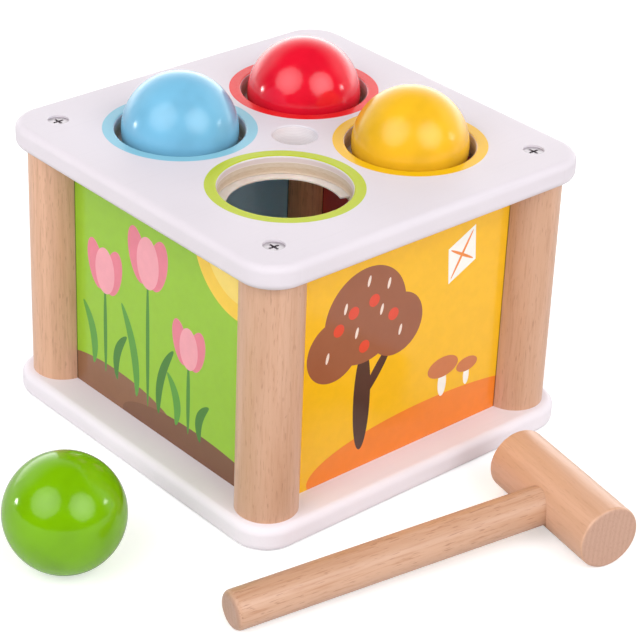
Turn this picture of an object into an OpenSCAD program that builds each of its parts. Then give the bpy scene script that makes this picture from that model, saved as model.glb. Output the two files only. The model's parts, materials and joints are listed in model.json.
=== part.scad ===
// Wooden ball pounding toy. Four balls sit in split rings in the top plate of a square box. A mallet
// drives them through, they land on a V-shaped ramp and roll out through the arch in the back panel.
// Millimetres, +Z up, origin at the centre of the underside of the base plate.

/* [Balls] */
// Diameter of each ball
ball_d = 45; // [40:0.5:54]
// Gap between a seated ball and the wall of its hole
ball_gap = 2.5; // [2:0.1:4]
// Hairline between a seated ball and its ring
seat_gap = 0.05; // [0.02:0.01:0.2]
// Clear floor between the base plate and the loose ball
loose_ball_gap = 33; // [10:1:80]
// Place of the loose ball along the left side of the box
loose_ball_y = -37.4; // [-60:0.2:60]

/* [Plates] */
// Thickness of the top plate and of the base plate
plate_t = 10; // [8:0.5:16]
// Radius of the plates' corners, seen from above
plate_corner_r = 15; // [8:1:24]
// Rounding along the plates' outer edges
plate_edge_r = 3; // [1:0.5:3.5]
// Rounding of the rims of the holes
hole_edge_r = 0.8; // [0.4:0.1:1.2]
// Wood left between neighbouring ball holes
hole_bridge = 12; // [9:0.5:30]
// Distance from a ball hole to the panel beside it
hole_margin = 6.5; // [4:0.5:20]

/* [Posts] */
// Diameter of the corner posts
post_d = 24; // [20:1:30]
// Length of the corner posts
post_h = 98.5; // [90:0.5:140]
// Distance from a post's axis to the edges of the plates
post_inset = 16; // [15:0.5:24]

/* [Panels] */
// Thickness of the side panels
panel_t = 3; // [2.5:0.5:5]
// Depth of the grooves that hold the panels in the posts
groove_depth = 6; // [3:0.5:8]
// Clearance on each side of a panel in its groove
groove_gap = 0.1; // [0.05:0.05:0.3]
// Clearance round a ball in the exit arch
exit_gap = 5.5; // [3:0.5:8]

/* [Retaining rings] */
// How far a ring reaches under a ball's widest circle
ring_bite = 1; // [0.5:0.1:1.4]
// Thickness of a ring
ring_t = 0.6; // [0.4:0.1:2]
// How far a ring sits in the groove in its hole
ring_land = 1; // [0.8:0.1:2]
// Wood left under the ring groove
ring_lip = 1.9; // [1:0.1:3]
// Free play of a ring in its groove
ring_play = 0.2; // [0.1:0.05:0.4]
// Width of the split in a ring, in degrees
ring_split = 20; // [8:1:40]
// Direction of the split, in degrees
ring_split_at = -32; // [-180:1:180]
// How far the red ball has already been pushed down, which spreads its ring
red_push = 1.3; // [0:0.1:3]

/* [Ramp] */
// Fall of the ramp towards the exit, in degrees
ramp_fall = 7; // [4:0.5:9]
// Fall of each half of the ramp towards the middle, in degrees
ramp_dish = 9; // [4:0.5:11]
// Thickness of the ramp boards
ramp_t = 4; // [3:0.5:6]
// Height of the ramp above the base plate at the exit
ramp_lift = 1; // [0.5:0.5:4]
// Thickness of the keel and the cheeks under the ramp
support_t = 6; // [4:0.5:10]
// Clearance from the ramp to the posts and panels
ramp_gap = 0.3; // [0.2:0.1:1]

/* [Hammer] */
// Diameter of the head
head_d = 25; // [22:0.5:36]
// Length of the head
head_l = 60; // [40:1:90]
// Rounding of the head's ends
head_edge_r = 1.2; // [0.5:0.1:3]
// Diameter of the handle
handle_d = 15; // [10:0.5:18]
// Length of the handle from the head's axis to its end
handle_reach = 140; // [90:1:180]
// How far the handle runs past the head's axis
handle_tenon = 6; // [2:0.5:8]
// Rounding of the handle's end
handle_edge_r = 2.5; // [1:0.5:4]
// Clearance of the handle in the head
handle_fit = 0.05; // [0.02:0.01:0.2]
// Gap round the handle in its storage hole in the top plate
handle_hole_gap = 1; // [0.5:0.1:2.5]
// Clear floor between the base plate and the near end of the head
hammer_gap = 20.7; // [10:0.1:80]
// Place of the head along the front of the box
hammer_x = 24; // [-20:1:60]
// Turn of the hammer on the floor, in degrees
hammer_turn = -11; // [-20:1:10]

/* [Screws] */
// Diameter of the screws
screw_d = 4; // [3:0.5:5]
// Diameter of the screw heads
screw_head_d = 8; // [7:0.5:10]
// Length of the screws
screw_l = 35; // [25:1:45]
// Clearance round the screws
screw_gap = 0.1; // [0.05:0.05:0.3]
// Depth of the screw heads below the face of the plate
screw_sink = 0.7; // [0.1:0.1:1]
// Width of the arms of the cross recess
recess_w = 1; // [0.6:0.1:1.4]
// Span of the cross recess
recess_span = 4.4; // [3:0.1:5]
// Depth of the cross recess
recess_depth = 1.5; // [0.8:0.1:1.8]

/* [Hidden] */
$fn = 96;
cut = 1;
far = 400;

ball_r = ball_d / 2;
hole_r = ball_r + ball_gap;
hole_at = hole_r + hole_bridge / 2;
inner_half = hole_at + hole_r + hole_margin;
post_at = inner_half + panel_t / 2;
plate_half = post_at + post_inset;
corner_at = plate_half - plate_corner_r;
box_h = 2 * plate_t + post_h;
under_top = plate_t + post_h;
handle_hole_r = handle_d / 2 + handle_hole_gap;

groove_face = post_at - post_d / 2;
panel_half = groove_face + groove_depth - groove_gap;

ring_in = ball_r - ring_bite;
ring_out = hole_r + ring_land;
ring_z = under_top + ring_lip;
ring_groove_r = ring_out + ring_bite + ring_play;
seat_r = ball_r + seat_gap;
seat_z = ring_z + ring_t;
seat_rise = sqrt(pow(seat_r, 2) - pow(ring_in, 2));

// How far a ring opens round a ball that has been pushed down
function ring_spread(push) = sqrt(pow(seat_r, 2) - pow(seat_rise - push, 2)) - ring_in;

// Turns that lay a board's face along both falls at once
ramp_pitch = ramp_fall;
ramp_roll = atan(tan(ramp_dish) * cos(ramp_fall));
ramp_rise = ramp_t / (cos(ramp_pitch) * cos(ramp_roll));
ramp_end = inner_half - ramp_gap;
ramp_z = plate_t + ramp_lift + ramp_rise;
exit_half = ball_r + exit_gap;
exit_top = ramp_z + ball_r / cos(ramp_dish) + ball_r + exit_gap;

head_r = head_d / 2;
handle_r = handle_d / 2;
hammer_y = -plate_half - hammer_gap - cos(hammer_turn) * head_l / 2;
// Droop that lets the end of the handle rest on the floor
handle_foot = handle_reach - handle_edge_r;
handle_droop = asin(head_r / norm([handle_foot, handle_r])) - atan(handle_r / handle_foot);

screw_cone = (screw_head_d - screw_d) / 2;

BACK = 0;
LEFT = 90;
FRONT = 180;
RIGHT = 270;

PAINT = [0.93, 0.91, 0.93];
BEECH = [0.87, 0.72, 0.6];
PLY = [0.8, 0.68, 0.56];
NYLON = [0.92, 0.9, 0.86];
STEEL = [0.75, 0.75, 0.77];
GREEN = [0.52, 0.75, 0.08];
BLUE = [0.5, 0.77, 0.92];
RED = [0.93, 0.06, 0.16];
YELLOW = [0.98, 0.76, 0.18];

// Half of a slab's section, square at the axis and rounded by r at its far edge
module rounded_section(reach, height, r) {
    square([reach - r, height]);
    translate([0, r]) square([reach, height - 2 * r]);
    translate([reach - r, r]) circle(r);
    translate([reach - r, height - r]) circle(r);
}

// Square plate with round corners and rounded edges, its underside at z = 0
module plate_blank() {
    for (side = [0, 180]) {
        rotate(side) rotate([90, 0, 90]) linear_extrude(2 * corner_at, center = true)
            rounded_section(plate_half, plate_t, plate_edge_r);
        rotate(side) translate([corner_at, 0, 0]) rotate([90, 0, 0]) linear_extrude(2 * corner_at, center = true)
            rounded_section(plate_corner_r, plate_t, plate_edge_r);
    }
    for (side = [0 : 90 : 270])
        rotate(side) translate([corner_at, corner_at, 0]) rotate_extrude(angle = 90)
            rounded_section(plate_corner_r, plate_t, plate_edge_r);
}

// Cutter that rounds the upper rim of a hole of radius r
module rim_cutter(r) {
    rotate_extrude() difference() {
        translate([r - cut, -hole_edge_r]) square([cut + hole_edge_r, hole_edge_r + cut]);
        translate([r + hole_edge_r, -hole_edge_r]) circle(hole_edge_r);
    }
}

// Cutter for a hole of radius r through a plate, with both rims rounded
module rimmed_hole(r) {
    translate([0, 0, -cut]) cylinder(h = plate_t + 2 * cut, r = r);
    translate([0, 0, plate_t]) rim_cutter(r);
    mirror([0, 0, 1]) rim_cutter(r);
}

// Cutter for a countersunk screw hole in a plate whose face is at z = 0
module screw_hole() {
    head = screw_head_d + 2 * screw_gap;
    shank = screw_d + 2 * screw_gap;
    translate([0, 0, -plate_t - cut]) cylinder(h = plate_t + cut, d = shank);
    translate([0, 0, -screw_sink - screw_cone]) cylinder(h = screw_cone, d1 = shank, d2 = head);
    translate([0, 0, -screw_sink]) cylinder(h = screw_sink + cut, d = head);
}

// Countersunk screw with a cross recess, sunk in a plate whose face is at z = 0, its point down
module screw() {
    color(STEEL) translate([0, 0, -screw_sink]) difference() {
        union() {
            translate([0, 0, -screw_cone]) cylinder(h = screw_cone, d1 = screw_d, d2 = screw_head_d);
            translate([0, 0, screw_d - screw_l]) cylinder(h = screw_l - screw_d - screw_cone, d = screw_d);
            translate([0, 0, -screw_l]) cylinder(h = screw_d, d1 = screw_d / 4, d2 = screw_d);
        }
        for (turn = [0, 90])
            rotate(turn) translate([-recess_span / 2, -recess_w / 2, -recess_depth])
                cube([recess_span, recess_w, recess_depth + cut]);
    }
}

// Places a child on the axis of each corner post
module at_posts() {
    for (x = [-1, 1], y = [-1, 1])
        translate([x * post_at, y * post_at, 0]) children();
}

module base_plate() {
    color(PAINT) difference() {
        plate_blank();
        at_posts() mirror([0, 0, 1]) screw_hole();
    }
}

module top_plate() {
    color(PAINT) translate([0, 0, under_top]) difference() {
        plate_blank();
        for (x = [-1, 1], y = [-1, 1]) translate([x * hole_at, y * hole_at, 0]) {
            rimmed_hole(hole_r);
            translate([0, 0, ring_lip]) cylinder(h = ring_t + ring_play, r = ring_groove_r);
        }
        rimmed_hole(handle_hole_r);
        at_posts() translate([0, 0, plate_t]) screw_hole();
    }
}

// Corner post with its two panel grooves and a screw hole in each end
module post(side) {
    pilot = screw_l + screw_sink - plate_t + cut;
    color(BEECH) rotate(side) difference() {
        translate([post_at, post_at, plate_t]) cylinder(h = post_h, d = post_d);
        for (flip = [0, 1]) mirror([flip, -flip, 0])
            translate([post_at - panel_t / 2 - groove_gap, groove_face - post_d, 0])
                cube([panel_t + 2 * groove_gap, post_d + groove_depth, box_h]);
        translate([post_at, post_at, plate_t - cut])
            cylinder(h = pilot + cut, d = screw_d + 2 * screw_gap);
        translate([post_at, post_at, under_top - pilot])
            cylinder(h = pilot + cut, d = screw_d + 2 * screw_gap);
    }
}

// Side panel, seated in the grooves of its two posts
module panel(side, tint) {
    color(tint) rotate(side) translate([inner_half, -panel_half, plate_t])
        cube([panel_t, 2 * panel_half, post_h]);
}

// Back panel with the arch that the balls roll out through
module panel_red() {
    color(RED) difference() {
        panel(BACK, RED);
        translate([inner_half - cut, 0, 0]) rotate([90, 0, 90]) linear_extrude(panel_t + 2 * cut) {
            translate([-exit_half, 0]) square([2 * exit_half, exit_top - exit_half]);
            translate([0, exit_top - exit_half]) circle(exit_half);
        }
    }
}

// Split ring in the groove of the hole at x, y, spread by a ball that has been pushed down
module retaining_ring(x, y, push = 0) {
    color(NYLON) translate([x * hole_at, y * hole_at, ring_z]) rotate(ring_split_at + ring_split / 2)
        rotate_extrude(angle = 360 - ring_split)
            translate([ring_in + ring_spread(push), 0]) square([ring_out - ring_in, ring_t]);
}

// Ball seated on its ring in the hole at x, y
module seated_ball(x, y, tint, push = 0) {
    color(tint) translate([x * hole_at, y * hole_at, seat_z + seat_rise - push]) sphere(ball_r);
}

module ball_green() {
    color(GREEN) translate([-plate_half - loose_ball_gap - ball_r, loose_ball_y, ball_r]) sphere(ball_r);
}

// Everything from depth under a ramp half's rolling face up to height above it
module ramp_slab(y, depth, height) {
    translate([ramp_end, 0, ramp_z]) rotate([y * ramp_roll, ramp_pitch, 0])
        translate([-far, -far, -depth]) cube([2 * far, 2 * far, depth + height]);
}

// Half of the ramp, tilted towards the exit and towards the middle, and notched round the posts
module ramp_board(y) {
    color(PLY) intersection() {
        ramp_slab(y, ramp_t, 0);
        linear_extrude(box_h) difference() {
            translate([-ramp_end, min(0, y * ramp_end)]) square([2 * ramp_end, ramp_end]);
            at_posts() circle(post_d / 2 + ramp_gap);
        }
    }
}

// Bar along the box at the height of the base plate, trimmed to the underside of the ramp
module ramp_support(y_low, y_high, x_half) {
    color(BEECH) difference() {
        translate([-x_half, y_low, plate_t]) cube([2 * x_half, y_high - y_low, box_h / 2]);
        for (y = [-1, 1]) if (y * (y_low + y_high) >= 0)
            ramp_slab(y, ramp_t, far);
    }
}

module ramp_keel() {
    ramp_support(-support_t, support_t, ramp_end);
}

// Support under the outer edge of a ramp half, between two posts
module ramp_cheek(y) {
    mid = y * (ramp_end - support_t / 2);
    ramp_support(mid - support_t / 2, mid + support_t / 2, groove_face - ramp_gap);
}

// Places the hammer on the floor, with its head along Y and its handle along -X
module lay_hammer() {
    translate([hammer_x, hammer_y, head_r]) rotate([0, -handle_droop, hammer_turn]) children();
}

module hammer_head() {
    color(BEECH) lay_hammer() difference() {
        rotate([90, 0, 0]) translate([0, 0, -head_l / 2])
            rotate_extrude() rounded_section(head_r, head_l, head_edge_r);
        rotate([0, -90, 0]) translate([0, 0, -handle_tenon - handle_fit])
            cylinder(h = head_d + handle_tenon, r = handle_r + handle_fit);
    }
}

module hammer_handle() {
    length = handle_reach + handle_tenon;
    color(BEECH) lay_hammer() rotate([0, -90, 0]) translate([0, 0, -handle_tenon])
        rotate_extrude() {
            square([handle_r - handle_edge_r, length]);
            square([handle_r, length - handle_edge_r]);
            translate([handle_r - handle_edge_r, length - handle_edge_r]) circle(handle_edge_r);
        }
}

module top_screws() {
    at_posts() translate([0, 0, box_h]) screw();
}

module base_screws() {
    at_posts() mirror([0, 0, 1]) screw();
}

base_plate();
top_plate();
post(FRONT);  // post_front
post(LEFT);  // post_left
post(RIGHT);  // post_right
post(BACK);  // post_back
panel(FRONT, GREEN);  // panel_green
panel(RIGHT, YELLOW);  // panel_yellow
panel(LEFT, BLUE);  // panel_blue
panel_red();
retaining_ring(-1, -1);  // retaining_ring_green
retaining_ring(-1, 1);  // retaining_ring_blue
retaining_ring(1, 1, red_push);  // retaining_ring_red
retaining_ring(1, -1);  // retaining_ring_yellow
ball_green();
seated_ball(-1, 1, BLUE);  // ball_blue
seated_ball(1, 1, RED, red_push);  // ball_red
seated_ball(1, -1, YELLOW);  // ball_yellow
ramp_board(1);  // ramp_board_left
ramp_board(-1);  // ramp_board_right
ramp_keel();
ramp_cheek(1);  // ramp_cheek_left
ramp_cheek(-1);  // ramp_cheek_right
hammer_head();
hammer_handle();
top_screws();
base_screws();
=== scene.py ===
import json
import math

import bpy
from mathutils import Matrix, Vector


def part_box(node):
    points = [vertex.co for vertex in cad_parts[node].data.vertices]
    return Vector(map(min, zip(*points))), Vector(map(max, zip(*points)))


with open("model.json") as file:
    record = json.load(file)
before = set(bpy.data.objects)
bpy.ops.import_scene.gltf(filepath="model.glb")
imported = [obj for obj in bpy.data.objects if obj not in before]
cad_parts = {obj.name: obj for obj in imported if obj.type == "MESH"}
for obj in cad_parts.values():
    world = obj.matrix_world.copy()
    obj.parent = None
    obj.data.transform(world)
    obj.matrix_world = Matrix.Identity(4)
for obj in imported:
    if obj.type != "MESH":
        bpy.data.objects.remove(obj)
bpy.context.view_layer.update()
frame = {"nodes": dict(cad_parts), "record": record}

nodes = frame["nodes"]
scene = bpy.context.scene

# Camera: the photograph's view, with lengths in metres and angles in degrees
PHOTO_PIXELS = 640
FOCAL_PIXELS = 2340.3
SENSOR_WIDTH_MM = 36.0
CAMERA_AZIMUTH = -42.09
CAMERA_ELEVATION = 29.59
CAMERA_ROLL = 2.37
CAMERA_DISTANCE = 0.9172
AIM_HEIGHT = 0.0592
AIM_RIGHT = 0.0124
AIM_UP = -0.0183

# Two round softboxes: where each stands (azimuth, elevation), how wide it looks from the object, in degrees,
# and how bright its face is where 1 is white
SOFTBOX_DISTANCE = 3.0
SOFTBOX_LEFT = {"bearing": (-85.0, 42.0), "looks": 54.0, "radiance": 2.50}
SOFTBOX_RIGHT = {"bearing": (4.0, 36.0), "looks": 49.0, "radiance": 2.80}

# How a softbox fades from the middle of its face: two distances from there, in shares of its width, and the
# strength at each
SOFTBOX_MIDDLE = (0.5, 0.5, 0.0)
SOFTBOX_FADE = (0.1, 0.5, 1.35, 0.75)

# The lit wall behind the object, in metres, with its brightness in reflections and as a fill light. It fades
# from the middle of its foot as a softbox does from its middle
BACKDROP_AZIMUTH = 133.0
BACKDROP_DISTANCE = 2.0
BACKDROP_WIDTH = 6.7
BACKDROP_HEIGHT = 1.5
BACKDROP_SHINE = 1.4
BACKDROP_FILL = 1.9
BACKDROP_FOOT = (0.5, 0.0, 0.0)
BACKDROP_FADE = (0.0, 1.0, 1.6, 0.2)

# How far the fill stands behind the shine, so that their faces do not lie in one plane
FILL_GAP = 0.1

# Two bare bulbs that sparkle in the lacquer
BULB_RADIUS = 0.06
BULB_LEFT = {"place": (-0.883, 0.916, 0.154), "radiance": 45.0}
BULB_RIGHT = {"place": (0.707, -0.608, 0.311), "radiance": 13.0}

# The white cove that glossy surfaces reflect: the sines of the heights and the cosines of the bearings
# between which it fades, the dark room round it, and the even light that the room gives
COVE_HEIGHTS = (0.52, 0.90)
COVE_BEARINGS = (0.40, -0.10)
CEILING_LIGHT = 0.03
AMBIENT_LIGHT = 0.36

# The floor: its two whites, how much white it lifts for the camera near the object and far off, the distances
# between, and the distances behind the object between which it brightens in reflections
FLOOR_SIZE = 8.0
FLOOR_ALBEDOS = (0.76, 0.75)
FLOOR_LIFT = (0.48, 1.0)
FLOOR_REACH = (0.5, 1.8)
SWEEP_REACH = (0.20, 0.90)
SWEEP_SHINE = 1.0

# Millimetres in a metre: every pattern below is written in millimetres
MM = 1000.0

# White as a shader socket takes it, and the values between which nearly all of a noise lies
WHITE = (1.0, 1.0, 1.0, 1.0)
NOISE_RANGE = (0.3, 0.7)

# Grain directions of the hammer, which lies turned on the floor with its handle's end drooping, in degrees
HAMMER_TURN = -11.0
HAMMER_DROOP = 2.1

# Beech: how pale each piece is, how strong its figure is, and where in the plank it was cut. The posts' tones
# also
# hold painted light: they even out how the lamps light each post, and the back post, seen only in the shade
# inside the box, is paler for that. Each post comes one cut after the last
POST_TONES_AND_PAINTED_LIGHT = {"front": 0.965, "left": 1.045, "right": 0.99, "back": 1.12}
POST_FIGURE = 1.0
POST_CUT = (37.0, 0.0, 211.0)
HANDLE_BEECH = {"tone": 0.95, "figure": 1.7, "cut": (90.0, 40.0, 13.0)}
HEAD_BEECH = {"tone": 1.0, "figure": 0.45, "cut": (160.0, 70.0, 40.0)}

# Growth rings: the heart of the tree, how far a ring wanders, and the rings' turns in radians per millimetre
TREE_HEART = (-34.0, 9.0, 0.0)
RING_WANDER = 9.0
FACE_RINGS = 1.7
END_RINGS = 2.9

# Colours of beech, as sRGB bytes
FACE_GRAIN = ((223, 177, 148), (211, 164, 133))
END_GRAIN = ((198, 156, 134), (182, 137, 115), (170, 124, 102))
GRAIN_MARKS = {
    "ring": (190, 138, 104),
    "line": (188, 136, 103),
    "fleck": (160, 108, 80),
    "knot": (156, 102, 76)}

# White paint, and how much of its brightness is left where it is thin and where the wood shows. Both plates
# carry
# one paint: the base's is written paler, as painted light for the base's more shaded faces
PAINT_TOP = (226, 218, 225)
PAINT_BASE = (240, 233, 240)
PAINT_THIN = 0.985
PAINT_WORN = 0.935

# Ball holes, the printed ring round each, the depths at which a print ends on the rounded edge, how far the
# paint reaches into a hole, and how far past its radius a hole's wall is still looked for
BALL_HOLE_RADIUS = 25.0
RING_WIDTH = 4.6
RING_BLUR = 0.12
RING_GLOSS = 0.36
PRINT_ENDS = (0.35, 0.15)
PAINT_DEPTH = 0.7
HOLE_MARGIN = 0.4

# Plywood: its plies, the face ply that ends in a line of glue, and the marks that a drill leaves
PLY_THICKNESS = 2.0
FACE_PLY_ENDS = (2.5, 2.7)
GLUE_DEPTH = 2.65
GLUE_HALF_WIDTHS = (0.05, 0.22)
CHATTER_PITCH = 0.65
HOLE_PLIES = ((218, 200, 182), (200, 176, 150))
FACE_PLY = (228, 211, 210)
GLUE = (242, 232, 228)
# The hammer hole's plies, paler than the top's paint: pale wood with painted light for the shade inside that
# hole
HAMMER_HOLE_PLIES_AND_PAINTED_LIGHT = ((253, 247, 250), (248, 240, 244))
CHATTER = (230, 222, 229)
RAMP_PLIES = ((246, 234, 216), (238, 220, 196))
RAMP_GRAIN = (226, 202, 172)

# Nylon of the split rings and zinc of the screws
NYLON = ((232, 222, 216), (220, 206, 198))
ZINC = ((212, 206, 210), (194, 188, 192))

# Prints and lacquers, and how much of its brightness a thick film of lacquer keeps
RING_PRINTS = {
    "green": (184, 197, 16),
    "blue": (136, 195, 216),
    "red": (230, 31, 34),
    "yellow": (238, 187, 14)}
LACQUERS = {
    "green": (122, 179, 0),
    "blue": (122, 189, 223),
    "red": (234, 17, 46),
    "yellow": (244, 187, 33)}
PANEL_COLOURS = {
    "green": (151, 197, 44),
    "yellow": (249, 190, 26),
    "blue": (132, 190, 226),
    "red": (228, 54, 54)}
# Inner faces: the panels' colours made paler, as painted light for the shaded inside of the box
INNER_COLOURS_WITH_PAINTED_LIGHT = {
    "green": (212, 232, 168),
    "yellow": (253, 232, 168),
    "blue": (148, 214, 254),
    "red": (242, 92, 92)}
LACQUER_ROUGHNESS = {"green": 0.13, "blue": 0.18, "red": 0.15, "yellow": 0.23}
LACQUER_SHINE = {"green": 0.42, "blue": 0.42, "red": 0.58, "yellow": 0.45}
THICK_FILM = 0.93

# How far from a panel's outer face its print counts, and the painted shadow of the gap where a panel goes
# into a
# post: how wide it is, and how much of the light is left there
PRINT_DEPTH = 0.3
SEAM_SHADOW_WIDTH = 0.65
SEAM_SHADE = 0.36


def linear(colour):
    """An sRGB colour in bytes as the linear RGBA that shader sockets take."""
    def channel(byte):
        share = byte / 255
        if share <= 0.04045:
            return share / 12.92
        return ((share + 0.055) / 1.055) ** 2.4
    return (*[channel(byte) for byte in colour], 1.0)


def scaled(colour, factor):
    """A colour whose bytes are this much brighter or darker."""
    return [byte * factor for byte in colour]


def direction(azimuth, elevation):
    """Unit vector towards a bearing: azimuth 0 is -Y, and -90 is -X."""
    turn = math.radians(azimuth)
    rise = math.radians(elevation)
    return Vector((math.sin(turn) * math.cos(rise), -math.cos(turn) * math.cos(rise), math.sin(rise)))


class Nodes:
    """A node tree in the making, with a short call for each kind of node that a pattern or a light needs."""

    def __init__(self, tree):
        self.tree = tree

    def node(self, kind, *inputs, **settings):
        """A new node with its settings, and its first inputs linked or set in order."""
        new = self.tree.nodes.new("ShaderNode" + kind)
        for key, value in settings.items():
            setattr(new, key, value)
        for socket, value in zip(new.inputs, inputs):
            self.feed(socket, value)
        return new

    def feed(self, socket, value):
        if isinstance(value, bpy.types.NodeSocket):
            self.tree.links.new(value, socket)
        else:
            socket.default_value = value

    def math(self, operation, a, b=0.0):
        return self.node("Math", a, b, operation=operation).outputs[0]

    def axes(self, vector):
        return self.node("SeparateXYZ", vector).outputs

    def point(self, x, y, z=0.0):
        return self.node("CombineXYZ", x, y, z).outputs[0]

    def length(self, vector):
        return self.node("VectorMath", vector, operation="LENGTH").outputs["Value"]

    def dot(self, a, b):
        return self.node("VectorMath", a, b, operation="DOT_PRODUCT").outputs["Value"]

    def stretch(self, vector, factors):
        return self.node("VectorMath", vector, factors, operation="MULTIPLY").outputs[0]

    def turned(self, vector, origin=(0, 0, 0), rotation=(0, 0, 0), size=(1, 1, 1)):
        """The point in a frame that has this origin, rotation and unit size."""
        return self.node("Mapping", vector, origin, rotation, size, vector_type="TEXTURE").outputs[0]

    def noise(self, vector, scale=1.0, detail=2.0, roughness=0.5):
        new = self.node("TexNoise", vector)
        new.inputs["Scale"].default_value = scale
        new.inputs["Detail"].default_value = detail
        new.inputs["Roughness"].default_value = roughness
        return new.outputs["Fac"]

    def step(self, value, low, high, at_low=0.0, at_high=1.0):
        """A smooth rise from at_low to at_high while the value goes from low to high."""
        new = self.node("MapRange", value, low, high, at_low, at_high, interpolation_type="SMOOTHSTEP")
        return new.outputs[0]

    def mix(self, share, a, b):
        """Colour a, turning into colour b as the share goes from 0 to 1."""
        new = self.node("Mix", data_type="RGBA")
        self.feed(new.inputs[0], share)
        self.feed(new.inputs[6], a)
        self.feed(new.inputs[7], b)
        return new.outputs[2]

    def rays(self):
        """Two switches: 1 for rays seen straight or through glass, and 1 for rays in a reflection."""
        traced = self.node("LightPath").outputs
        straight = self.math("MAXIMUM", traced["Is Camera Ray"], traced["Is Transmission Ray"])
        return straight, traced["Is Glossy Ray"]


class Finish(Nodes):
    """A material in the making. Its place is the point on the object, in millimetres."""

    def __init__(self, name, **constants):
        self.material = bpy.data.materials.new(name)
        self.material.use_nodes = True
        super().__init__(self.material.node_tree)
        self.surface = self.tree.nodes["Principled BSDF"]
        for socket, value in constants.items():
            self.surface.inputs[socket.replace("_", " ")].default_value = value
        in_millimetres = self.node("VectorMath", self.node("TexCoord").outputs["Object"], operation="SCALE")
        in_millimetres.inputs["Scale"].default_value = MM
        self.place = in_millimetres.outputs[0]

    def clouds(self, pattern, colours):
        """Two sRGB colours that follow a pattern of noise."""
        pale, deep = colours
        return self.mix(self.step(pattern, *NOISE_RANGE), linear(pale), linear(deep))

    def paint(self, colour):
        self.feed(self.surface.inputs["Base Color"], colour)

    def matt(self, pattern, smoothest, roughest):
        """Roughness that follows a pattern of noise."""
        self.feed(self.surface.inputs["Roughness"], self.step(pattern, *NOISE_RANGE, smoothest, roughest))

    def bump(self, height, depth):
        """Relief of this depth where the height runs from 0 to 1."""
        new = self.node("Bump")
        new.inputs["Distance"].default_value = depth / MM
        self.feed(new.inputs["Height"], height)
        self.feed(self.surface.inputs["Normal"], new.outputs[0])


def dress(name, finish):
    """Gives a CAD node this finish as its only material."""
    mesh = nodes[name].data
    mesh.materials.clear()
    mesh.materials.append(finish.material)


def middle(name):
    low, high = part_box(name)
    return (low + high) / 2


def face_grain(finish, place, lines, from_heart, figure, tone):
    """Long grain of beech: growth rings, fine lines, flecks and a few knots over a cloudy ground."""
    broad = finish.noise(finish.stretch(place, (0.10, 0.10, 0.010)), detail=3)
    flecks = finish.noise(finish.stretch(place, (2.0, 2.0, 0.20)), detail=1)
    knots = finish.noise(finish.stretch(place, (0.55, 0.55, 0.30)), detail=2)
    radius = finish.math("ADD", from_heart, finish.math("MULTIPLY", broad, RING_WANDER))
    rings = finish.math("SINE", finish.math("MULTIPLY", radius, FACE_RINGS))
    marks = {
        "ring": finish.step(rings, -0.2, 1.0, 0.0, 0.16),
        "line": finish.step(lines, 0.46, 0.74, 0.0, 0.45 * figure),
        "fleck": finish.step(flecks, 0.62, 0.72, 0.0, 0.36 * figure),
        "knot": finish.step(knots, 0.74, 0.82, 0.0, 0.40)}
    colour = finish.clouds(broad, [scaled(shade, tone) for shade in FACE_GRAIN])
    for mark, share in marks.items():
        colour = finish.mix(share, colour, linear(GRAIN_MARKS[mark]))
    return colour


def end_grain(finish, place, from_heart, tone):
    """Sawn end of beech: late wood in each growth ring, and pores."""
    cut, late, pore = [linear(scaled(shade, tone)) for shade in END_GRAIN]
    rings = finish.math("SINE", finish.math("MULTIPLY", from_heart, END_RINGS))
    pores = finish.noise(finish.stretch(place, (1.2, 1.9, 1.0)), detail=2)
    colour = finish.mix(finish.step(rings, -0.6, 1.0, 0.0, 0.3), cut, late)
    return finish.mix(finish.step(pores, 0.50, 0.75, 0.0, 0.4), colour, pore)


def beech(name, grain, cut, figure, tone):
    """Turned, sanded and lacquered beech with its grain along one direction, as strong as the figure. The
    tone says how pale this piece is; for the posts it also holds painted light."""
    finish = Finish(name, Specular_IOR_Level=0.35, Coat_Weight=0.55, Coat_Roughness=0.28)
    place = finish.turned(finish.place, cut, grain.to_track_quat("Z", "X").to_euler())
    lines = finish.noise(finish.stretch(place, (1.2, 1.2, 0.07)), detail=4, roughness=0.6)
    x, y, _ = finish.axes(finish.turned(place, TREE_HEART))
    from_heart = finish.length(finish.point(x, y))
    along = finish.math("ABSOLUTE", finish.dot(finish.node("TexCoord").outputs["Normal"], grain))
    face = face_grain(finish, place, lines, from_heart, figure, tone)
    end = end_grain(finish, place, from_heart, tone)
    finish.paint(finish.mix(finish.step(along, 0.55, 0.95), face, end))
    finish.feed(finish.surface.inputs["Roughness"], finish.step(lines, 0.3, 0.8, 0.42, 0.58))
    finish.bump(lines, 0.06)
    return finish


def plywood_layers(finish, height, plies):
    """Edge of plywood: plies alternately along and across the grain."""
    pale, dark = [linear(ply) for ply in plies]
    ply = finish.math("SINE", finish.math("MULTIPLY", height, math.pi / PLY_THICKNESS))
    fibre = finish.noise(finish.stretch(finish.place, (0.5, 0.5, 2.5)), detail=4)
    layer_share = finish.step(ply, -0.35, 0.35, 0.15, 0.75)
    fibre_share = finish.step(fibre, 0.35, 0.75, -0.2, 0.3)
    return finish.mix(finish.math("ADD", layer_share, fibre_share), pale, dark)


def white_paint(finish, white):
    """Sprayed satin paint over sanded plywood, with a trace of the wood below."""
    cloud = finish.noise(finish.place, scale=0.02, detail=2)
    fibre = finish.noise(finish.stretch(finish.place, (0.03, 0.9, 0.9)), detail=3)
    speck = finish.noise(finish.place, scale=0.6, detail=2)
    colour = finish.clouds(cloud, (white, scaled(white, PAINT_THIN)))
    finish.matt(speck, 0.34, 0.44)
    finish.bump(finish.math("ADD", finish.noise(finish.place, scale=1.1, detail=2), fibre), 0.015)
    return finish.mix(finish.step(fibre, 0.55, 0.85, 0.0, 0.25), colour, linear(scaled(white, PAINT_WORN)))


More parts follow.
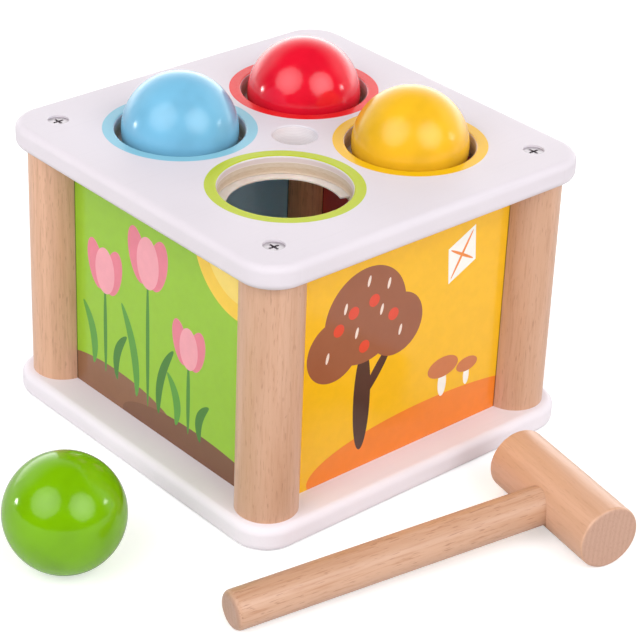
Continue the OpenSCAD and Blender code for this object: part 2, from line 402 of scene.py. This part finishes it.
def painted_base():
    finish = Finish("painted_base", Specular_IOR_Level=0.12)
    # The base's paint is paler than the top's: painted light for the base's shade
    finish.paint(white_paint(finish, PAINT_BASE))
    return finish


def ring_colours(finish, x, y):
    """The colour of the printed ring in each quarter of the top plate."""
    right = finish.math("GREATER_THAN", x, 0.0)
    back = finish.math("GREATER_THAN", y, 0.0)
    front_row = finish.mix(right, linear(RING_PRINTS["green"]), linear(RING_PRINTS["yellow"]))
    back_row = finish.mix(right, linear(RING_PRINTS["blue"]), linear(RING_PRINTS["red"]))
    return finish.mix(back, front_row, back_row)


def bored_wall(finish, z, top):
    """Bare plywood in a ball hole: a pale face ply, a line of glue, and the plies below."""
    depth = finish.math("SUBTRACT", top, z)
    colour = plywood_layers(finish, z, HOLE_PLIES)
    colour = finish.mix(finish.step(depth, *FACE_PLY_ENDS, 1.0, 0.0), colour, linear(FACE_PLY))
    from_glue = finish.math("ABSOLUTE", finish.math("SUBTRACT", depth, GLUE_DEPTH))
    return finish.mix(finish.step(from_glue, *GLUE_HALF_WIDTHS, 0.8, 0.0), colour, linear(GLUE))


def drilled_wall(finish, z):
    """Pale plywood in the hammer's hole, with the marks of the drill. Its plies are paler than the top's
    paint, which is painted light for the shade in the hole.
    """
    chatter = finish.math("SINE", finish.math("MULTIPLY", z, 2 * math.pi / CHATTER_PITCH))
    colour = plywood_layers(finish, z, HAMMER_HOLE_PLIES_AND_PAINTED_LIGHT)
    return finish.mix(finish.step(chatter, 0.2, 1.0, 0.0, 0.6), colour, linear(CHATTER))


def painted_top(hole_at, hammer_hole_radius, top):
    """The top plate's paint, with a printed ring round each ball hole and bare plywood in the holes."""
    finish = Finish("painted_top", Specular_IOR_Level=0.12, Coat_Roughness=0.12)
    colour = white_paint(finish, PAINT_TOP)
    x, y, z = finish.axes(finish.place)
    from_hole = finish.length(finish.point(
        finish.math("SUBTRACT", finish.math("ABSOLUTE", x), hole_at),
        finish.math("SUBTRACT", finish.math("ABSOLUTE", y), hole_at)))
    from_centre = finish.length(finish.point(x, y))
    ring_radius = BALL_HOLE_RADIUS + RING_WIDTH
    on_ring = finish.step(from_hole, ring_radius - RING_BLUR, ring_radius + RING_BLUR, 1.0, 0.0)
    on_face = finish.step(z, *[top - depth for depth in PRINT_ENDS])
    printed = finish.math("MULTIPLY", on_ring, on_face)
    colour = finish.mix(printed, colour, ring_colours(finish, x, y))
    finish.feed(finish.surface.inputs["Coat Weight"], finish.math("MULTIPLY", printed, RING_GLOSS))
    below = finish.math("LESS_THAN", z, top - PAINT_DEPTH)
    in_ball_hole = finish.math("LESS_THAN", from_hole, BALL_HOLE_RADIUS + HOLE_MARGIN)
    in_hammer_hole = finish.math("LESS_THAN", from_centre, hammer_hole_radius + HOLE_MARGIN)
    colour = finish.mix(finish.math("MULTIPLY", in_ball_hole, below), colour, bored_wall(finish, z, top))
    colour = finish.mix(finish.math("MULTIPLY", in_hammer_hole, below), colour, drilled_wall(finish, z))
    finish.paint(colour)
    return finish


def lacquer(tint):
    """Glossy lacquer on a turned wooden ball: a slightly wavy film that levels unevenly over the grain."""
    finish = Finish("lacquer_" + tint, Specular_IOR_Level=LACQUER_SHINE[tint])
    place = finish.turned(finish.place, middle("ball_" + tint) * MM, (0.6, 0.4, 0.0))
    film = finish.noise(place, scale=0.06, detail=2)
    fibre = finish.noise(finish.stretch(place, (0.5, 0.5, 0.04)), detail=3)
    thin = LACQUERS[tint]
    gloss = LACQUER_ROUGHNESS[tint]
    finish.paint(finish.clouds(film, (thin, [int(byte) for byte in scaled(thin, THICK_FILM)])))
    finish.matt(fibre, gloss - 0.02, gloss + 0.03)
    finish.bump(finish.math("ADD", finish.noise(place, scale=0.35, detail=1), fibre), 0.02)
    return finish


def nylon(name):
    """Milky moulded nylon with a faint matt texture."""
    finish = Finish(name, Specular_IOR_Level=0.4, Subsurface_Weight=0.2, Subsurface_Scale=0.002)
    grit = finish.noise(finish.place, scale=4.0, detail=2)
    finish.paint(finish.clouds(finish.noise(finish.place, scale=0.15, detail=3), NYLON))
    finish.matt(grit, 0.36, 0.5)
    finish.bump(grit, 0.01)
    return finish


def bare_plywood(name):
    """Sanded birch plywood: face veneer with long grain, and plies that show at the edges."""
    finish = Finish(name, Specular_IOR_Level=0.3)
    grain = finish.noise(finish.stretch(finish.place, (0.04, 0.9, 0.9)), detail=4, roughness=0.6)
    layers = plywood_layers(finish, finish.axes(finish.place)["Z"], RAMP_PLIES)
    finish.paint(finish.mix(finish.step(grain, 0.45, 0.75, 0.0, 0.45), layers, linear(RAMP_GRAIN)))
    finish.matt(grain, 0.5, 0.65)
    finish.bump(grain, 0.05)
    return finish


def plated_steel(name):
    """Zinc-plated screws with fine marks of handling."""
    finish = Finish(name, Metallic=1.0)
    marks = finish.noise(finish.stretch(finish.place, (6.0, 0.5, 6.0)), detail=2)
    finish.paint(finish.clouds(finish.noise(finish.place, scale=0.5, detail=3), ZINC))
    finish.matt(marks, 0.30, 0.42)
    finish.bump(marks, 0.006)
    return finish


class Print(Finish):
    """A printed panel: flat shapes laid one over the other on its outer face, in millimetres from the
    middle of the panel's foot. Across is the axis that the panel lies along, and the sign makes it run to
    the right as seen from outside."""

    def __init__(self, tint, across, sign, outer):
        super().__init__("print_" + tint)
        x, y, z = self.axes(self.place)
        along, depth = (x, y) if across == "x" else (y, x)
        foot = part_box("panel_" + tint)[0].z * MM
        self.sheet = self.point(self.math("MULTIPLY", along, sign), self.math("SUBTRACT", z, foot))
        from_face = self.math("ABSOLUTE", self.math("SUBTRACT", depth, outer))
        self.outside = self.math("LESS_THAN", from_face, PRINT_DEPTH)
        post = abs(middle("post_front").x) * MM
        radius = (middle("post_front").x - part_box("post_front")[0].x) * MM
        self.half_width = post - math.sqrt(radius ** 2 - (abs(outer) - post) ** 2)
        # The inner faces get a paler colour: painted light for the shade inside the box
        self.inner_with_painted_light = linear(INNER_COLOURS_WITH_PAINTED_LIGHT[tint])
        self.colour = linear(PANEL_COLOURS[tint])

    def local(self, u, v, half_u, half_v, turn):
        """The sheet's point as seen from a shape that has this middle, half sizes and turn in degrees."""
        return self.turned(self.sheet, (u, v, 0), (0, 0, math.radians(turn)), (half_u, half_v, 1))

    def oval(self, colour, u, v, half_u, half_v, turn=0.0, bend=0.0):
        """An ellipse that is turned by degrees and bent by its sagitta at the ends."""
        local = self.local(u, v, half_u, half_v, turn)
        if bend:
            across, up, _ = self.axes(local)
            sag = self.math("MULTIPLY", self.math("MULTIPLY", across, across), bend / half_v)
            local = self.point(across, self.math("SUBTRACT", up, sag))
        within = self.math("LESS_THAN", self.length(local), 1.0)
        self.colour = self.mix(within, self.colour, linear(colour))

    def disc(self, colour, u, v, radius):
        self.oval(colour, u, v, radius, radius)

    def diamond(self, colour, u, v, half_u, half_v, turn):
        local = self.local(u, v, half_u, half_v, turn)
        across, up, _ = self.axes(self.node("VectorMath", local, operation="ABSOLUTE").outputs[0])
        within = self.math("LESS_THAN", self.math("ADD", across, up), 1.0)
        self.colour = self.mix(within, self.colour, linear(colour))

    def varnish(self):
        """Puts the picture on the outer face, under a clear varnish, with a painted shadow line beside the
        posts.
        """
        mottle = self.noise(self.place, scale=0.25, detail=4)
        grit = self.noise(self.place, scale=2.2, detail=2)
        colour = self.mix(self.outside, self.inner_with_painted_light, self.colour)
        across = self.math("ABSOLUTE", self.axes(self.sheet)["X"])
        # Painted shadow of the gap where the panel goes into a post, darkening the sheet beside it
        seam_shadow_from = self.half_width - SEAM_SHADOW_WIDTH
        seam_shadow = self.step(across, seam_shadow_from, seam_shadow_from + SEAM_SHADOW_WIDTH / 2, 1.0, SEAM_SHADE)
        light = self.math("MULTIPLY", self.step(mottle, *NOISE_RANGE, 0.975, 1.015), seam_shadow)
        self.paint(self.node("HueSaturation", 0.5, 1.0, light, 1.0, colour).outputs[0])
        self.matt(grit, 0.10, 0.16)
        self.bump(grit, 0.004)
        return self


def tulip(art, u, foot, head, size):
    """A pink tulip with a straight stem and two bent leaves."""
    petal = (232, 128, 146)
    stem_half = (head - foot) / 2
    art.oval((76, 140, 44), u, foot + stem_half, stem_half, 1.1, 90)
    art.oval((88, 156, 52), u - size * 0.42, foot + stem_half * 0.75, stem_half * 0.7, 2.3, 104, 3.0)
    art.oval((66, 128, 40), u + size * 0.40, foot + stem_half * 0.62, stem_half * 0.6, 2.1, 74, -3.0)
    art.oval(petal, u - size * 0.30, head + size * 0.42, size * 0.55, size * 0.26, 104)
    art.oval(petal, u + size * 0.30, head + size * 0.42, size * 0.55, size * 0.26, 76)
    art.oval((244, 164, 176), u, head + size * 0.36, size * 0.52, size * 0.32, 90)


def green_print(outer):
    """Tulips on brown soil under a corner sun."""
    art = Print("green", "y", -1.0, outer)
    art.disc((250, 206, 66), 48, 98, 27)
    art.disc((253, 222, 112), 48, 98, 20)
    art.oval((140, 96, 66), -26, 4, 40, 12)
    art.oval((124, 82, 56), 24, 1, 46, 11)
    tulip(art, -33, 12, 50, 19)
    tulip(art, -6, 9, 64, 21)
    tulip(art, 19, 9, 40, 17)
    return art.varnish()


def yellow_print(outer):
    """An autumn tree with a patterned crown, mushrooms and a kite."""
    trunk = (78, 50, 42)
    crown = (156, 92, 62)
    stick = (240, 140, 60)
    art = Print("yellow", "x", 1.0, outer)
    art.oval((244, 132, 36), 16, 2, 62, 15)
    art.oval(trunk, -20, 30, 22, 4.2, 90)
    art.oval(trunk, -13, 40, 12, 2.2, 55)
    for u, v, radius in ((-20, 66, 20), (-35, 56, 13), (-4, 57, 13)):
        art.disc(crown, u, v, radius)
    for u, v in ((-30, 72), (-19, 80), (-12, 66), (-24, 60), (-38, 54), (-2, 54), (-9, 76)):
        art.oval((243, 222, 208), u, v, 2.3, 0.7, 78)
    for u, v in ((-33, 64), (-16, 71), (-6, 62), (-26, 69), (-20, 53)):
        art.disc((226, 74, 48), u, v, 2.6)
    for u, size in ((22, 1.0), (35, 0.7)):
        art.oval((250, 244, 236), u, 18 + 4 * size, 6 * size, 2.2 * size, 90)
        art.oval((206, 120, 70), u, 18 + 11 * size, 8 * size, 4.5 * size)
    art.diamond((252, 248, 242), 28, 76, 12.5, 8.5, 60)
    art.oval(stick, 28, 76, 10.5, 0.6, 60)
    art.oval(stick, 28, 76, 7, 0.6, 150)
    return art.varnish()


def blue_print(outer):
    """Clouds over a sailing boat."""
    white = (246, 248, 250)
    art = Print("blue", "x", -1.0, outer)
    for u, v, size in ((-26, 78, 1.0), (24, 84, 0.8)):
        art.oval(white, u, v, 14 * size, 5 * size)
        art.disc(white, u - 4 * size, v + 4 * size, 6 * size)
        art.disc(white, u + 4 * size, v + 3 * size, 5 * size)
    art.oval((236, 92, 62), 2, 28, 20, 6, 0, 3.0)
    art.oval((252, 226, 120), 8, 46, 15, 6, 78, 3.0)
    art.oval((96, 66, 50), 0, 46, 19, 0.9, 90)
    art.oval((62, 136, 198), -10, 8, 48, 14)
    art.oval((52, 122, 186), 26, 4, 34, 12)
    return art.varnish()


def red_print(outer):
    """Pale dots scattered above the exit arch."""
    art = Print("red", "y", 1.0, outer)
    for u, v in ((-44, 84), (-30, 88), (-14, 84), (4, 88), (20, 83), (36, 88), (46, 76), (-42, 64), (44, 56)):
        art.disc((252, 214, 120), u, v, 3.2)
        art.disc((250, 240, 224), u, v, 1.4)
    return art.varnish()


def dress_box():
    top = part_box("top_plate")[1].z * MM
    hole_at = middle("ball_red").x * MM
    hammer_hole = next(mount for mount in frame["record"]["mounts"] if mount["name"] == "hammer_hole")
    dress("base_plate", painted_base())
    dress("top_plate", painted_top(hole_at, hammer_hole["dims"]["r_mm"], top))
    # Each post's tone holds painted light as well as its own paleness
    for place, (side, tone) in enumerate(POST_TONES_AND_PAINTED_LIGHT.items()):
        name = "post_" + side
        cut = [step * place for step in POST_CUT]
        dress(name, beech("beech_" + name, Vector((0, 0, 1)), cut, POST_FIGURE, tone))
    dress("panel_green", green_print(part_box("panel_green")[0].x * MM))
    dress("panel_yellow", yellow_print(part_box("panel_yellow")[0].y * MM))
    dress("panel_blue", blue_print(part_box("panel_blue")[1].y * MM))
    dress("panel_red", red_print(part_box("panel_red")[1].x * MM))
    for name in ("ramp_board_left", "ramp_board_right", "ramp_keel", "ramp_cheek_left", "ramp_cheek_right"):
        dress(name, bare_plywood("plywood_" + name))
    for name in ("top_screws", "base_screws"):
        dress(name, plated_steel("steel_" + name))


def dress_balls():
    for tint in LACQUERS:
        dress("ball_" + tint, lacquer(tint))
        dress("retaining_ring_" + tint, nylon("nylon_" + tint))


def dress_hammer():
    turn = math.radians(HAMMER_TURN)
    droop = math.radians(HAMMER_DROOP)
    handle = Vector((-math.cos(turn) * math.cos(droop), -math.sin(turn) * math.cos(droop), -math.sin(droop)))
    head = Vector((-math.sin(turn), math.cos(turn), 0))
    dress("hammer_handle", beech("beech_handle", handle, **HANDLE_BEECH))
    dress("hammer_head", beech("beech_head", head, **HEAD_BEECH))


def lamp_power(radiance, area):
    """Power of a lamp whose face has this radiance, in watts."""
    return radiance * math.pi * area


def hang_lamp(name, lamp, place, facing=None):
    """Adds a lamp that lights the object without being seen itself, facing a point if it has a face."""
    lamp_object = bpy.data.objects.new(name, lamp)
    lamp_object.location = place
    lamp_object.visible_camera = False
    if facing is not None:
        lamp_object.rotation_euler = (place - facing).to_track_quat("Z", "Y").to_euler()
    scene.collection.objects.link(lamp_object)
    return lamp_object


def fade_face(lamp, start, limits):
    """Lets the face of a lamp fade with the distance from a point on it, in shares of its width and height:
    the limits are two such distances and the strength at each."""
    lamp.use_nodes = True
    face = Nodes(lamp.node_tree)
    place = face.node("NewGeometry").outputs["Parametric"]
    away = face.node("VectorMath", place, start, operation="DISTANCE").outputs["Value"]
    face.feed(face.tree.nodes["Emission"].inputs["Strength"], face.step(away, *limits))


def softbox(name, bearing, looks, radiance):
    """A round softbox that faces the middle of the object."""
    lamp = bpy.data.lights.new(name, "AREA")
    lamp.shape = "DISK"
    lamp.size = 2 * SOFTBOX_DISTANCE * math.tan(math.radians(looks / 2))
    lamp.energy = lamp_power(radiance, math.pi * (lamp.size / 2) ** 2)
    fade_face(lamp, SOFTBOX_MIDDLE, SOFTBOX_FADE)
    middle_of_box = Vector((0, 0, AIM_HEIGHT))
    hang_lamp(name, lamp, middle_of_box + direction(*bearing) * SOFTBOX_DISTANCE, middle_of_box)


def lit_backdrop(name, distance, radiance):
    """A bright white wall this far behind the object."""
    lamp = bpy.data.lights.new(name, "AREA")
    lamp.shape = "RECTANGLE"
    lamp.size = BACKDROP_WIDTH
    lamp.size_y = BACKDROP_HEIGHT
    lamp.energy = lamp_power(radiance, BACKDROP_WIDTH * BACKDROP_HEIGHT)
    fade_face(lamp, BACKDROP_FOOT, BACKDROP_FADE)
    half_way_up = Vector((0, 0, BACKDROP_HEIGHT / 2))
    place = direction(BACKDROP_AZIMUTH, 0) * distance + half_way_up
    return hang_lamp(name, lamp, place, half_way_up)


def bulb(name, place, radiance):
    """A small bare lamp that sparkles in the lacquer."""
    lamp = bpy.data.lights.new(name, "POINT")
    lamp.shadow_soft_size = BULB_RADIUS
    lamp.energy = lamp_power(radiance, 4 * math.pi * BULB_RADIUS ** 2)
    hang_lamp(name, lamp, Vector(place))


def studio_world():
    """White for the camera, a white cove in a dark room for reflections, and an even light for the rest."""
    world = bpy.data.worlds.new("studio")
    world.use_nodes = True
    world.node_tree.nodes.clear()
    sky = Nodes(world.node_tree)
    straight, glossy = sky.rays()
    bearing = sky.node("TexCoord").outputs["Generated"]
    low = sky.step(sky.axes(bearing)["Z"], *COVE_HEIGHTS, 1.0, 0.0)
    behind = sky.step(sky.dot(bearing, direction(BACKDROP_AZIMUTH, 0)), *COVE_BEARINGS, 1.0, 0.0)
    cove = sky.math("MAXIMUM", sky.math("MULTIPLY", low, behind), CEILING_LIGHT)
    reflected = sky.node("Background", WHITE, cove).outputs[0]
    ambient = sky.node("Background", WHITE, AMBIENT_LIGHT).outputs[0]
    seen = sky.node("Background", WHITE, 1.0).outputs[0]
    light = sky.node("MixShader", glossy, ambient, reflected).outputs[0]
    sky.node("OutputWorld", sky.node("MixShader", straight, light, seen).outputs[0])
    scene.world = world


def studio_floor():
    """A white sheet under the object. It lifts its own white for the camera and keeps the shadows."""
    finish = Finish("white_sheet", Roughness=0.9, Specular_IOR_Level=0.0, Emission_Color=WHITE)
    whites = [(albedo, albedo, albedo, 1) for albedo in FLOOR_ALBEDOS]
    cloud = finish.noise(finish.place, scale=0.004, detail=2)
    finish.paint(finish.mix(finish.step(cloud, *NOISE_RANGE), *whites))
    straight, glossy = finish.rays()
    white = finish.step(finish.length(finish.place), *[reach * MM for reach in FLOOR_REACH], *FLOOR_LIFT)
    behind = finish.dot(finish.place, direction(BACKDROP_AZIMUTH, 0) / MM)
    sweep = finish.step(behind, *SWEEP_REACH, 0.0, SWEEP_SHINE)
    lift = finish.math("MULTIPLY", straight, white)
    shine = finish.math("MULTIPLY", glossy, sweep)
    finish.feed(finish.surface.inputs["Emission Strength"], finish.math("ADD", lift, shine))
    half = FLOOR_SIZE / 2
    corners = [(-half, -half, 0), (half, -half, 0), (half, half, 0), (-half, half, 0)]
    mesh = bpy.data.meshes.new("floor")
    mesh.from_pydata(corners, [], [(0, 1, 2, 3)])
    mesh.materials.append(finish.material)
    floor = bpy.data.objects.new("floor", mesh)
    scene.collection.objects.link(floor)


def photograph_camera():
    """The camera where the photograph was taken, rolled as it was held."""
    turn = math.radians(CAMERA_AZIMUTH)
    roll = math.radians(CAMERA_ROLL)
    back = direction(CAMERA_AZIMUTH, CAMERA_ELEVATION)
    right = Vector((math.cos(turn), math.sin(turn), 0))
    up = back.cross(right)
    aim = Vector((0, 0, AIM_HEIGHT)) + right * AIM_RIGHT + up * AIM_UP
    side = right * math.cos(roll) + up * math.sin(roll)
    rise = up * math.cos(roll) - right * math.sin(roll)
    lens = bpy.data.cameras.new("camera")
    lens.sensor_width = SENSOR_WIDTH_MM
    lens.lens = FOCAL_PIXELS * SENSOR_WIDTH_MM / PHOTO_PIXELS
    camera = bpy.data.objects.new("camera", lens)
    facing = Matrix((side, rise, back)).transposed().to_4x4()
    camera.matrix_world = Matrix.Translation(aim + back * CAMERA_DISTANCE) @ facing
    scene.collection.objects.link(camera)
    scene.camera = camera


dress_box()
dress_balls()
dress_hammer()
softbox("softbox_left", **SOFTBOX_LEFT)
softbox("softbox_right", **SOFTBOX_RIGHT)
lit_backdrop("backdrop_shine", BACKDROP_DISTANCE, BACKDROP_SHINE).visible_diffuse = False
lit_backdrop("backdrop_fill", BACKDROP_DISTANCE + FILL_GAP, BACKDROP_FILL).visible_glossy = False
bulb("bulb_left", **BULB_LEFT)
bulb("bulb_right", **BULB_RIGHT)
studio_world()
studio_floor()
photograph_camera()
scene.view_settings.view_transform = "Standard"
